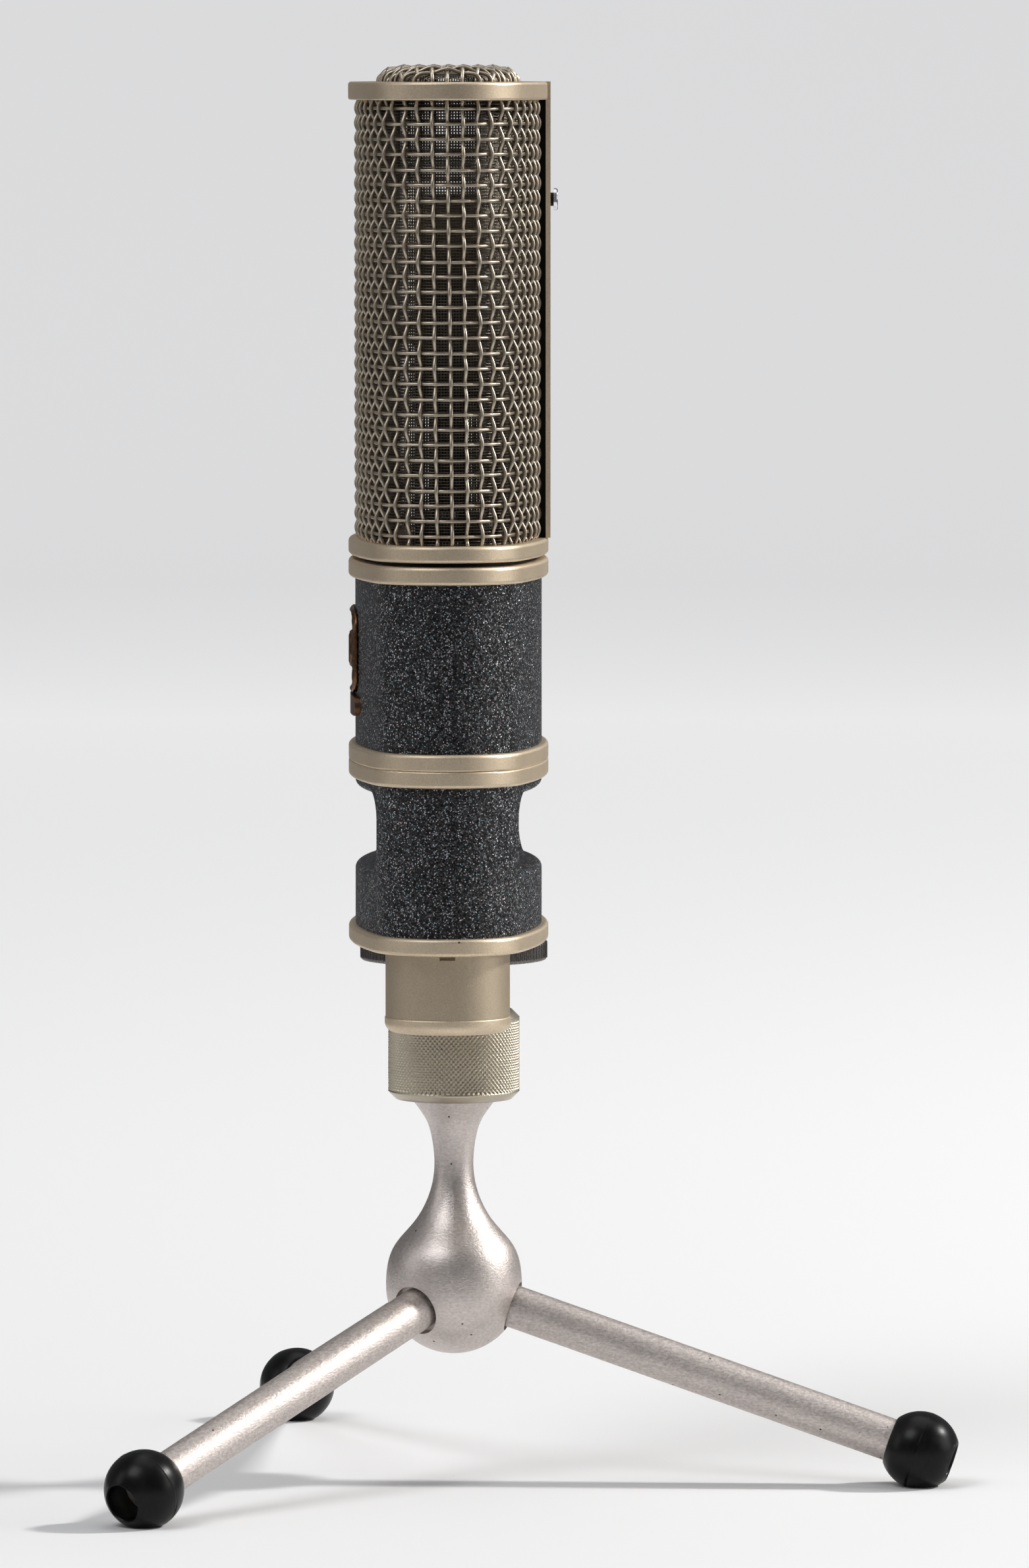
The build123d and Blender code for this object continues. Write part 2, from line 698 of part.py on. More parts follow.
def microphone_nodes():
    """The rest of the microphone, about its own middle plane."""
    return {
        "base_plate": base_plate(),
        "base_screws": base_screws(),
        "bottom_ring": trim_ring(*BASE_Z, 2.5),
        "xlr_shell": xlr_shell(),
        "xlr_end_ring": xlr_end_ring(),
        "xlr_insert": xlr_insert(),
        "xlr_pins": xlr_pins(),
        "xlr_wires": xlr_wires(),
        "lower_body": lower_body(),
        "mid_ring_lower": trim_ring(LOWER_Z[1], SEAM_Z, RING_WALL, SOFT_EDGE, 0.3),
        "lower_deck": deck(LOWER_Z[1], SEAM_Z),
        "mid_ring_upper": trim_ring(SEAM_Z, UPPER_Z[0], RING_WALL, 0.3, SOFT_EDGE),
        "bulkhead": deck(SEAM_Z, UPPER_Z[0]),
        "joint_screws": joint_screws(),
        "upper_body": upper_body(),
        "badge_plate": badge_plate(),
        "badge_bar": badge_bar(),
        "circuit_board": circuit_board(),
        "board_brackets": board_brackets(),
        "board_screws": board_screws(),
        "board_connector": board_connector(),
        "capacitors": capacitors(),
        "transistors": transistors(),
        "transformer_core": transformer_core(),
        "transformer_coil": transformer_coil(),
        "body_top_ring": trim_ring(*TOP_RING_BODY_Z, RING_WALL),
        "body_deck": body_deck(),
        "groove_gasket": groove_gasket(),
        "basket_base_ring": trim_ring(*BASKET_RING_Z, BASKET_WALL),
        "basket_floor": basket_floor(),
        "basket_screws": basket_screws(),
        "basket_rods": basket_rods(),
        "outer_mesh": outer_mesh(),
        "inner_mesh": woven_wall(FINE_INSET, FINE_WALL),
        "top_ring": top_ring(),
        "top_mesh": top_mesh(),
        "rear_strip": rear_strip(),
        "strip_backing": strip_backing(),
        "rear_spacer": rear_spacer(),
        "rear_screw": rear_screw(),
        "capsule_ring": capsule_ring(),
        "capsule_backplate": capsule_backplate(),
        "diaphragms": diaphragms(),
        "clamp_rings": clamp_rings(),
        "clamp_screws": clamp_screws(),
        "capsule_saddle": capsule_saddle(),
        "saddle_damper": saddle_damper(),
        "saddle_screws": saddle_screws(),
        "capsule_leads": capsule_leads(),
    }


def moved(shape, place):
    """One shape, or each shape of a group, in another place."""
    return [place * one for one in shape] if isinstance(shape, list) else place * shape


os.makedirs("parts", exist_ok=True)
for node_name, node_shape in stand_nodes().items():
    write(node_name, node_shape)
for node_name, node_shape in microphone_nodes().items():
    write(node_name, moved(node_shape, Pos(0, -POST_Y, 0)))
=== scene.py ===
import json
import math

import bpy
import numpy as np
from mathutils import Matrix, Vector


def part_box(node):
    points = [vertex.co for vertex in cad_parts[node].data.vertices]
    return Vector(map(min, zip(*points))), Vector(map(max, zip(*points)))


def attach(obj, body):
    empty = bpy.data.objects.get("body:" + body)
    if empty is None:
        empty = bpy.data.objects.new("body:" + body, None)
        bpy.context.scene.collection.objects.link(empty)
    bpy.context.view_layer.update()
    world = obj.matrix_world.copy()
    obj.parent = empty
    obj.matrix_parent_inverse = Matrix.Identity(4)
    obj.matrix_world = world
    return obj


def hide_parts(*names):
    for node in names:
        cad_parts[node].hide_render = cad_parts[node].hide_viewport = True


# Looks for a flat condenser microphone on a desk tripod. Metres, +Z up, the front faces -Y,
# and the connector is at the +X end, which the camera faces.
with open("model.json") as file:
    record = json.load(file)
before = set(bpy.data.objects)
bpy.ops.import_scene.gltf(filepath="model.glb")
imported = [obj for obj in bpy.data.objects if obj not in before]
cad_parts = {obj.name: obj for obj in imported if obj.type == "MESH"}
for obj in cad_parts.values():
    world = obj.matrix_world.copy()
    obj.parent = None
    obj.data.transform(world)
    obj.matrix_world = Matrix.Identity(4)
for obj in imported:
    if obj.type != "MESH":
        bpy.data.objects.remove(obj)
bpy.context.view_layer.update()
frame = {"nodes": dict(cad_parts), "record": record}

MM = 0.001


# ---------------------------------------------------------------- the microphone's outline
# Two shallow face arcs joined by two round ends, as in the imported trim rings. Its middle
# plane is a little in front of the stand's axis.
RING_LOW, RING_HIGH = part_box("body_top_ring")
HALF_WIDTH = RING_HIGH.x
HALF_DEPTH = (RING_HIGH.y - RING_LOW.y) / 2
MIDDLE_Y = (RING_HIGH.y + RING_LOW.y) / 2
FACE_R = 98 * MM
FACE_Y = FACE_R - HALF_DEPTH
NOSE_R = (FACE_R**2 - HALF_WIDTH**2 - FACE_Y**2) / (2 * (FACE_R - HALF_WIDTH))
NOSE_X = HALF_WIDTH - NOSE_R
FACE_HALF_ANGLE = math.atan2(NOSE_X, FACE_Y)


def outline(inset, shares):
    """Points and outward directions on the outline, moved in by inset.

    shares run from 0 to 1 anticlockwise from the middle of the connector end, by length.
    """
    face = 2 * FACE_HALF_ANGLE * (FACE_R - inset)
    half_nose = (math.pi / 2 - FACE_HALF_ANGLE) * (NOSE_R - inset)
    along = (np.asarray(shares) % 1.0) * 2 * (face + 2 * half_nose)
    # each arc: where it starts along the length, its centre, radius and first direction
    arcs = [
        (0, (NOSE_X, 0), NOSE_R, 0),
        (half_nose, (0, -FACE_Y), FACE_R, math.pi / 2 - FACE_HALF_ANGLE),
        (half_nose + face, (-NOSE_X, 0), NOSE_R, math.pi / 2 + FACE_HALF_ANGLE),
        (3 * half_nose + face, (0, FACE_Y), FACE_R, 3 * math.pi / 2 - FACE_HALF_ANGLE),
        (3 * half_nose + 2 * face, (NOSE_X, 0), NOSE_R, 3 * math.pi / 2 + FACE_HALF_ANGLE),
    ]
    places = np.zeros(along.shape + (3,))
    outward = np.zeros(along.shape + (3,))
    for start, centre, radius, first in arcs:
        angle = first + (along - start) / (radius - inset)
        here = along >= start
        direction = np.stack([np.cos(angle), np.sin(angle), np.zeros_like(angle)], axis=-1)
        middle = np.array([centre[0], centre[1], 0])
        places[here] = (middle + direction * (radius - inset))[here]
        outward[here] = direction[here]
    return places, outward


def length_round(inset):
    """The outline's length, moved in by inset."""
    nose = (math.pi - 2 * FACE_HALF_ANGLE) * (NOSE_R - inset)
    return 2 * (2 * FACE_HALF_ANGLE * (FACE_R - inset) + nose)


def inside_depth(x, y):
    """How far points lie inside the outline, and the outward direction of the nearest edge."""
    side_x, side_y = np.where(x < 0, -1.0, 1.0), np.where(y < 0, -1.0, 1.0)
    from_nose = np.stack([np.abs(x) - NOSE_X, np.abs(y)], axis=-1)
    from_face = np.stack([np.abs(x), np.abs(y) + FACE_Y], axis=-1)
    nose_far = np.linalg.norm(from_nose, axis=-1)
    face_far = np.linalg.norm(from_face, axis=-1)
    in_nose = np.arctan2(from_nose[..., 0], from_nose[..., 1]) > FACE_HALF_ANGLE
    depth = np.where(in_nose, NOSE_R - nose_far, FACE_R - face_far)
    unit = np.where(
        in_nose[..., None],
        from_nose / np.maximum(nose_far, 1e-9)[..., None],
        from_face / face_far[..., None],
    )
    return depth, unit * np.stack([side_x, side_y], axis=-1)


# ---------------------------------------------------------------- mesh building
def piece(name, vertices, faces, material, body, slot, *replaced):
    """A smooth-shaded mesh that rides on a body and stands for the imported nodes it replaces."""
    mesh = bpy.data.meshes.new(name)
    mesh.from_pydata(vertices, [], faces)
    mesh.shade_smooth()
    mesh.materials.append(material)
    made = bpy.data.objects.new(name, mesh)
    bpy.context.scene.collection.objects.link(made)
    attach(made, body)
    if replaced:
        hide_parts(*replaced)


def basket_piece(name, cloth, look, slot, node):
    """A piece of the basket, drawn about the microphone's middle plane."""
    vertices, faces = cloth
    centred = (np.array(vertices) + (0, MIDDLE_Y, 0)).tolist()
    piece(name, centred, faces, look, "microphone", slot, node)


def grid_faces(rows, columns, first=0, close_rows=False, close_columns=False):
    """Quads between neighbouring points of a grid numbered row by row."""
    row = np.arange(rows if close_rows else rows - 1)[:, None]
    column = np.arange(columns if close_columns else columns - 1)[None, :]
    next_row, next_column = (row + 1) % rows, (column + 1) % columns
    corners = [(row, column), (row, next_column), (next_row, next_column), (next_row, column)]
    quads = np.stack(np.broadcast_arrays(*[r * columns + c for r, c in corners]), axis=-1)
    return (quads.reshape(-1, 4) + first).tolist()


def wires(paths, outward, radius, sides, closed=False):
    """Vertices and faces of round wires along paths, with the way out of the cloth at each point.

    paths and outward are arrays of the shape (wires, points, 3).
    """
    if closed:
        ahead = np.roll(paths, -1, axis=1) - np.roll(paths, 1, axis=1)
    else:
        ahead = np.gradient(paths, axis=1)
    ahead /= np.linalg.norm(ahead, axis=-1, keepdims=True)
    across = np.cross(outward, ahead)
    across /= np.linalg.norm(across, axis=-1, keepdims=True)
    up = np.cross(ahead, across)
    turn = 2 * math.pi * np.arange(sides) / sides
    ring = (
        across[:, :, None] * np.cos(turn)[None, None, :, None]
        + up[:, :, None] * np.sin(turn)[None, None, :, None]
    )
    vertices = (paths[:, :, None] + radius * ring).reshape(-1, 3)
    count, points = paths.shape[:2]
    faces = []
    for i in range(count):
        first = i * points * sides
        faces += grid_faces(points, sides, first, close_rows=closed, close_columns=True)
        if not closed:
            last = first + (points - 1) * sides
            faces.append(list(range(first, first + sides))[::-1])
            faces.append(list(range(last, last + sides)))
    return vertices.tolist(), faces


def joined(*parts):
    """Several (vertices, faces) pairs as one."""
    vertices, faces = [], []
    for some_vertices, some_faces in parts:
        faces += [[corner + len(vertices) for corner in face] for face in some_faces]
        vertices += some_vertices
    return vertices, faces


def turned(profile, columns, relief=None):
    """A ring turned about Z from a closed profile of (radius, height) points.

    relief(radius, height, angle) gives how much material is cut away at each point.
    """
    radius, height = np.array(profile).T[:, :, None]
    angle = 2 * math.pi * np.arange(columns)[None, :] / columns
    cut = relief(radius, height, angle) if relief else 0
    reach = radius - cut
    vertices = np.stack(
        [reach * np.cos(angle), reach * np.sin(angle), np.broadcast_to(height, reach.shape)],
        axis=-1,
    )
    faces = grid_faces(len(profile), columns, close_rows=True, close_columns=True)
    return vertices.reshape(-1, 3).tolist(), [face[::-1] for face in faces]


def ridge(phase):
    """A triangle wave: 0 at whole numbers and 1 halfway between."""
    return 1 - np.abs(2 * (phase % 1.0) - 1)


# ---------------------------------------------------------------- materials
def shader(name, base, roughness, metallic=0.0, **sockets):
    """A new material with its Principled node's plain values set."""
    material = bpy.data.materials.new(name)
    material.use_nodes = True
    tree = material.node_tree
    principled = tree.nodes["Principled BSDF"]
    principled.inputs["Base Color"].default_value = (*base, 1)
    principled.inputs["Roughness"].default_value = roughness
    principled.inputs["Metallic"].default_value = metallic
    for socket, value in sockets.items():
        principled.inputs[socket.replace("_", " ")].default_value = value
    return material, tree, principled


def node(tree, kind, inputs=(), **settings):
    """Adds a node. inputs maps socket names to values or to other nodes' output sockets."""
    made = tree.nodes.new(kind)
    for key, value in settings.items():
        setattr(made, key, value)
    for key, value in dict(inputs).items():
        if isinstance(value, bpy.types.NodeSocket):
            tree.links.new(value, made.inputs[key])
        else:
            made.inputs[key].default_value = value
    return made


def place(tree, stretch=(1, 1, 1), turn=(0, 0, 0)):
    """Coordinates in the part's frame, turned and then stretched."""
    where = node(tree, "ShaderNodeTexCoord").outputs["Object"]
    turned_to = node(tree, "ShaderNodeMapping", {"Vector": where, "Rotation": turn})
    return node(
        tree, "ShaderNodeMapping", {"Vector": turned_to.outputs[0], "Scale": stretch}
    ).outputs[0]


def noise(tree, where, size, detail=2.0, rough=0.5):
    """Soft noise whose features are about size across."""
    return node(
        tree,
        "ShaderNodeTexNoise",
        {"Vector": where, "Scale": 1 / size, "Detail": detail, "Roughness": rough},
    ).outputs["Fac"]


def ramp(tree, value, low, high, from_colour=(0, 0, 0), to_colour=(1, 1, 1)):
    """Maps value between low and high to a blend of two colours."""
    made = node(tree, "ShaderNodeValToRGB", {"Fac": value})
    made.color_ramp.elements[0].position = low
    made.color_ramp.elements[0].color = (*from_colour, 1)
    made.color_ramp.elements[1].position = high
    made.color_ramp.elements[1].color = (*to_colour, 1)
    return made.outputs["Color"]


def blend_colour(tree, share, first, second, kind="MIX"):
    made = node(tree, "ShaderNodeMix", data_type="RGBA", blend_type=kind)
    for key, value in ((0, share), (6, first), (7, second)):
        if isinstance(value, bpy.types.NodeSocket):
            tree.links.new(value, made.inputs[key])
        else:
            made.inputs[key].default_value = value if key == 0 else (*value, 1)
    return made.outputs[2]


def value_between(tree, share, low, high):
    return node(
        tree, "ShaderNodeMapRange", {"Value": share, "To Min": low, "To Max": high}
    ).outputs[0]


def bump(tree, principled, height, depth, strength=1.0):
    """Relief of a real depth in metres on the shader's normal."""
    made = node(
        tree, "ShaderNodeBump", {"Height": height, "Distance": depth, "Strength": strength}
    )
    tree.links.new(made.outputs["Normal"], principled.inputs["Normal"])


def pits(tree, where, spacing, size):
    """Rare tiny dark pits: 1 on the metal and 0 in a pit."""
    cells = node(tree, "ShaderNodeTexVoronoi", {"Vector": where, "Scale": 1 / spacing})
    share = size / spacing
    return ramp(tree, cells.outputs["Distance"], share * 0.6, share)


def shade(colour, factor):
    return tuple(min(1.0, c * factor) for c in colour)


def satin(name, colour, roughness, grain=0.22 * MM, contrast=0.14, relief=0.012 * MM,
          metallic=1.0, pit_spacing=0, stretch=(1, 1, 1), turn=(0, 0, 0)):
    """Fine-blasted or brushed plated metal, with a grain, faint clouds and a few pits."""
    material, tree, principled = shader(name, colour, roughness, metallic)
    where = place(tree, stretch, turn)
    fine = noise(tree, where, grain, detail=3.0, rough=0.65)
    clouds = noise(tree, place(tree), 9 * MM, detail=3.0)
    grainy = ramp(
        tree, fine, 0.3, 0.7, shade(colour, 1 - contrast), shade(colour, 1 + contrast)
    )
    cloudy = ramp(tree, clouds, 0.3, 0.7, (0.93, 0.93, 0.94), (1, 1, 1))
    coloured = blend_colour(tree, 1.0, grainy, cloudy, "MULTIPLY")
    if pit_spacing:
        clean = pits(tree, place(tree), pit_spacing, 0.22 * MM)
        coloured = blend_colour(tree, clean, shade(colour, 0.12), coloured)
    tree.links.new(coloured, principled.inputs["Base Color"])
    rough = value_between(tree, fine, roughness - 0.06, roughness + 0.08)
    tree.links.new(rough, principled.inputs["Roughness"])
    bump(tree, principled, fine, relief)
    return material


def sparkle_paint():
    """Charcoal lacquer full of fine metal flakes, some white, some teal, some pink."""
    material, tree, principled = shader(
        "sparkle_paint", (0.012, 0.013, 0.015), 0.38, 0.5, Specular_IOR_Level=0.3
    )
    where = place(tree)
    flakes = node(tree, "ShaderNodeTexVoronoi", {"Vector": where, "Scale": 1 / (0.20 * MM)})
    dice = node(tree, "ShaderNodeSeparateColor", {"Color": flakes.outputs["Color"]})
    grey = ramp(tree, dice.outputs[0], 0.45, 0.95, (0.002, 0.002, 0.0025), (0.085, 0.087, 0.095))
    tint = ramp(tree, dice.outputs[1], 0.3, 0.75, (0.30, 0.55, 0.62), (0.85, 0.62, 0.66))
    white = blend_colour(tree, ramp(tree, dice.outputs[2], 0.45, 0.55), tint, (0.9, 0.9, 0.92))
    bright = ramp(tree, dice.outputs[0], 0.78, 0.93)
    centre = ramp(tree, flakes.outputs["Distance"], 0.30, 0.60, (1, 1, 1), (0, 0, 0))
    shown = blend_colour(tree, 1.0, bright, centre, "MULTIPLY")
    coloured = blend_colour(tree, shown, grey, white)
    tree.links.new(coloured, principled.inputs["Base Color"])
    tree.links.new(value_between(tree, shown, 0.25, 0.9), principled.inputs["Metallic"])
    tilt = node(
        tree,
        "ShaderNodeVectorMath",
        {0: flakes.outputs["Color"], 1: (0.5, 0.5, 0.5)},
        operation="SUBTRACT",
    )
    tilted = node(tree, "ShaderNodeVectorMath", {0: tilt.outputs[0]}, operation="SCALE")
    tilted.inputs["Scale"].default_value = 0.8
    surface = node(tree, "ShaderNodeNewGeometry").outputs["Normal"]
    leaning = node(
        tree, "ShaderNodeVectorMath", {0: surface, 1: tilted.outputs[0]}, operation="ADD"
    )
    unit = node(tree, "ShaderNodeVectorMath", {0: leaning.outputs[0]}, operation="NORMALIZE")
    tree.links.new(unit.outputs[0], principled.inputs["Normal"])
    return material


def rubber(name, colour=(0.003, 0.003, 0.0033), roughness=0.27):
    """Moulded black rubber with a soft sheen, faint dust and a very fine skin."""
    material, tree, principled = shader(name, colour, roughness, IOR=1.27)
    fine = noise(tree, place(tree), 0.12 * MM, detail=3.0)
    dust = noise(tree, place(tree), 3.5 * MM, detail=4.0, rough=0.7)
    dusty = ramp(tree, dust, 0.45, 0.85, colour, shade(colour, 3.2))
    tree.links.new(dusty, principled.inputs["Base Color"])
    rough = value_between(tree, dust, roughness - 0.05, roughness + 0.12)
    tree.links.new(rough, principled.inputs["Roughness"])
    bump(tree, principled, fine, 0.006 * MM)
    return material


def plastic(name, colour, roughness=0.45):
    """Moulded plastic with a fine even grain."""
    material, tree, principled = shader(name, colour, roughness)
    fine = noise(tree, place(tree), 0.2 * MM, detail=2.0)
    tree.links.new(
        ramp(tree, fine, 0.3, 0.7, shade(colour, 0.85), shade(colour, 1.2)),
        principled.inputs["Base Color"],
    )
    bump(tree, principled, fine, 0.008 * MM)
    return material


def winding(name, colour):
    """Enamelled copper wire wound in close turns, with painted shade in the grooves between them.
    """
    material, tree, principled = shader(name, colour, 0.3, 0.9)
    turns = node(
        tree,
        "ShaderNodeTexWave",
        {"Vector": place(tree), "Scale": 0.16 / (0.3 * MM), "Distortion": 0.6},
        bands_direction="Y",
    ).outputs["Fac"]
    # The grooves between turns are painted down to 0.35 of the copper colour: painted shade
    # between the turns.
    tree.links.new(
        ramp(tree, turns, 0.1, 0.9, shade(colour, 0.35), colour), principled.inputs["Base Color"]
    )
    bump(tree, principled, turns, 0.05 * MM)
    return material


def circuit_board_look():
    """Green solder mask with faint tracks and weave."""
    material, tree, principled = shader("board", (0.015, 0.09, 0.04), 0.35, Coat_Weight=0.3)
    where = place(tree)
    tracks = node(
        tree,
        "ShaderNodeTexBrick",
        {"Vector": where, "Scale": 1 / (5 * MM), "Mortar Size": 0.03, "Mortar Smooth": 0.2,
         "Color1": (0.012, 0.08, 0.035, 1), "Color2": (0.014, 0.10, 0.045, 1),
         "Mortar": (0.03, 0.17, 0.07, 1)},
    )
    weave = noise(tree, where, 0.4 * MM)
    faint = ramp(tree, weave, 0.3, 0.7, (0.85, 0.85, 0.85), (1, 1, 1))
    coloured = blend_colour(tree, 1.0, tracks.outputs["Color"], faint, "MULTIPLY")
    tree.links.new(coloured, principled.inputs["Base Color"])
    return material


# ---------------------------------------------------------------- palette
CHAMPAGNE = (0.72, 0.60, 0.445)
WIRE_NICKEL = (0.53, 0.46, 0.365)
NICKEL = (0.64, 0.58, 0.545)
NUT_GREEN = (0.54, 0.485, 0.385)

looks = {
    "stand_metal": satin(
        "stand_metal", NICKEL, 0.43, grain=0.38 * MM, contrast=0.17, relief=0.055 * MM,
        pit_spacing=3.5 * MM, stretch=(0.7, 0.7, 1.4),
    ),
    # The legs use the stand metal darkened to 0.97: painted shade that tones down their
    # highlight.
    "leg_metal_painted_shade": satin(
        "leg_metal_painted_shade", shade(NICKEL, 0.97), 0.53, grain=0.42 * MM, contrast=0.24, relief=0.09 * MM,
        pit_spacing=3.5 * MM, stretch=(0.7, 0.7, 1.4),
    ),
    "foot_rubber": rubber("foot_rubber"),
    "nut_metal": satin("nut_metal", NUT_GREEN, 0.36, contrast=0.06, metallic=0.9),
    "dark_metal": satin("dark_metal", (0.17, 0.155, 0.145), 0.27),
    "steel": satin("steel", (0.52, 0.52, 0.53), 0.3),
    "trim_nickel": satin("trim_nickel", CHAMPAGNE, 0.52, relief=0.02 * MM, pit_spacing=7 * MM),
    # The connector boss is the champagne trim darkened to 0.74: painted shade for the shadow of
    # the end ring above it.
    "boss_nickel_painted_shade": satin(
        "boss_nickel_painted_shade", shade(CHAMPAGNE, 0.74), 0.52, relief=0.02 * MM, pit_spacing=7 * MM
    ),
    # The rear strip is the champagne trim made 1.2 times lighter: painted highlight for the key
    # light caught on its rounded edge.
    "strip_nickel_painted_highlight": satin(
        "strip_nickel_painted_highlight", shade(CHAMPAGNE, 1.2), 0.6, relief=0.02 * MM, metallic=0.5
    ),
    "deck_metal": satin("deck_metal", (0.42, 0.42, 0.43), 0.4),
    "connector_plastic": plastic("connector_plastic", (0.018, 0.018, 0.02)),
    "pin_silver": satin("pin_silver", (0.82, 0.79, 0.74), 0.22, contrast=0.05),
    "wire_insulation": plastic("wire_insulation", (0.33, 0.035, 0.03), 0.35),
    "sparkle_paint": sparkle_paint(),
    "badge_bronze": satin(
        "badge_bronze", (0.16, 0.085, 0.045), 0.36, grain=0.6 * MM, contrast=0.35
    ),
    "board": circuit_board_look(),
    "copper_winding": winding("copper_winding", (0.62, 0.26, 0.12)),
    "black_rubber": rubber("black_rubber", roughness=0.5),
    "mesh_wire": satin("mesh_wire", WIRE_NICKEL, 0.40, grain=0.35 * MM, contrast=0.16),
    # The fine cloth is the wire colour darkened to 0.36: painted shade for the inside of the
    # basket.
    "fine_mesh": satin("fine_mesh", shade(WIRE_NICKEL, 0.36), 0.42, grain=0.3 * MM),
    "screw_chrome": satin("screw_chrome", (0.78, 0.78, 0.8), 0.14, contrast=0.04),
    "capsule_brass": satin("capsule_brass", (0.16, 0.115, 0.07), 0.34),
    "diaphragm_gold": satin("diaphragm_gold", (0.83, 0.62, 0.28), 0.16, contrast=0.05),
}

# The boss, the rear strip and the legs take shaded or lit copies of their metals: painted shade
# on the boss and legs, painted highlight on the strip.
OWN_LOOKS = {
    "xlr_shell": "boss_nickel_painted_shade", "rear_strip": "strip_nickel_painted_highlight",
    "leg_1": "leg_metal_painted_shade", "leg_2": "leg_metal_painted_shade", "leg_3": "leg_metal_painted_shade",
}

for part in frame["record"]["subparts"]:
    shown = frame["nodes"][part["node"]]
    look = OWN_LOOKS.get(part["node"], part["material_slot"])
    shown.data.materials.clear()
    shown.data.materials.append(looks[look])


# ---------------------------------------------------------------- basket of woven wire
UPRIGHT_R = 0.31 * MM
ROUND_R = 0.265 * MM
UPRIGHT_SWING = 0.415 * MM
ROUND_SWING = 0.16 * MM
UPRIGHT_COUNT = 70
ROW_COUNT = 29
ROW_PITCH = 2.33 * MM
FIRST_ROW_DROP = 1.3 * MM
LEAN = -0.012
POINTS_PER_ROW = 6
POINTS_PER_UPRIGHT = 5
WIRE_SIDES = 8
MESH_LOW, MESH_HIGH = (corner.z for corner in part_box("outer_mesh"))
MESH_INSET = HALF_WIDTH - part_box("outer_mesh")[1].x
WEAVE_DEPTH = UPRIGHT_SWING + UPRIGHT_R
first_row_z = MESH_HIGH - FIRST_ROW_DROP
chance = np.random.default_rng(7)


def waver(count, size):
    """A small offset for each of count wires."""
    return chance.uniform(-size, size, count)


def upright_wires():
    """Wires up the basket, each bending over every second row and under the next."""
    count = UPRIGHT_COUNT
    steps = int((MESH_HIGH - MESH_LOW) / ROW_PITCH * POINTS_PER_ROW)
    z = np.linspace(MESH_LOW, MESH_HIGH, steps + 1)
    inset = MESH_INSET + WEAVE_DEPTH
    order = np.arange(count)
    wander = 0.035 * MM * np.sin(z[None, :] / (9 * MM) + waver(count, 3)[:, None])
    aside = waver(count, 0.05 * MM)[:, None] + LEAN * (z - MESH_HIGH)[None, :] + wander
    shares = order[:, None] / count + aside / length_round(inset)
    places, outward = outline(inset, shares)
    swing = np.cos(math.pi * (z - first_row_z) / ROW_PITCH)[None, :] * np.where(
        order % 2 == 0, 1, -1
    )[:, None]
    places = places + outward * (UPRIGHT_SWING * swing)[:, :, None]
    places[..., 2] = z
    return wires(places, outward, UPRIGHT_R, WIRE_SIDES)


def round_wires():
    """Nearly straight wires round the basket, one for each row."""
    steps = UPRIGHT_COUNT * POINTS_PER_UPRIGHT
    inset = MESH_INSET + WEAVE_DEPTH
    shares = np.broadcast_to(np.arange(steps) / steps, (ROW_COUNT, steps))
    places, outward = outline(inset, shares)
    rows = np.arange(ROW_COUNT)
    swing = np.cos(math.pi * shares * UPRIGHT_COUNT) * np.where(rows % 2 == 0, -1, 1)[:, None]
    places = places + outward * (ROUND_SWING * swing)[:, :, None]
    level = first_row_z - rows * ROW_PITCH + waver(ROW_COUNT, 0.04 * MM)
    sway = 0.05 * MM * np.sin(2 * math.pi * 3 * shares + waver(ROW_COUNT, 3)[:, None])
    places[..., 2] = level[:, None] + sway
    return wires(places, outward, ROUND_R, WIRE_SIDES - 2, closed=True)


FINE_R = 0.11 * MM
FINE_PITCH = 0.46 * MM
FINE_INSET = 2.3 * MM
FINE_STEPS = 160


def fine_uprights():
    """The fine cloth's upright wires."""
    inset = FINE_INSET + 2.5 * FINE_R
    count = round(length_round(inset) / FINE_PITCH)
    ends = np.array([MESH_LOW, MESH_HIGH])
    shares = np.broadcast_to(np.arange(count)[:, None] / count, (count, 2))
    places, outward = outline(inset, shares)
    places[..., 2] = ends
    return wires(places, outward, FINE_R, 4)


def fine_rounds():
    """The fine cloth's rows, lying on the uprights."""
    levels = np.arange(MESH_LOW + FINE_PITCH / 2, MESH_HIGH - FINE_R, FINE_PITCH)
    steps = np.arange(FINE_STEPS) / FINE_STEPS
    shares = np.broadcast_to(steps, (len(levels), FINE_STEPS))
    places, outward = outline(FINE_INSET + FINE_R, shares)
    places[..., 2] = levels[:, None]
    return wires(places, outward, FINE_R, 4, closed=True)


wire_look, fine_look_painted_shade = looks["mesh_wire"], looks["fine_mesh"]
basket_piece("basket_uprights", upright_wires(), wire_look, "mesh_wire", "outer_mesh")
basket_piece("basket_rounds", round_wires(), wire_look, "mesh_wire", "outer_mesh")
basket_piece("fine_cloth_uprights", fine_uprights(), fine_look_painted_shade, "fine_mesh", "inner_mesh")
basket_piece("fine_cloth_rounds", fine_rounds(), fine_look_painted_shade, "fine_mesh", "inner_mesh")


# ---------------------------------------------------------------- woven cap on top
CAP_LOW, CAP_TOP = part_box("top_mesh")[0].z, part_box("top_mesh")[1].z
CAP_INSET = HALF_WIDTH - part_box("top_mesh")[1].x
SHOULDER_WIDE = 4.6 * MM
SHOULDER_HIGH = 2.6 * MM


def cap_surface(x, y, sunk):
    """Heights and outward directions of the cap's skin, sunk below its outer face."""
    wide, high = SHOULDER_WIDE - sunk, SHOULDER_HIGH - sunk
    depth, sideways = inside_depth(x, y)
    lean = np.clip((wide - (depth - CAP_INSET - sunk)) / wide, 0, 1)
    rise = np.sqrt(1 - lean**2)
    z = CAP_TOP - sunk - high * (1 - rise)
    out = np.concatenate([sideways * lean[..., None] / wide, rise[..., None] / high], axis=-1)
    return z, out / np.linalg.norm(out, axis=-1, keepdims=True)


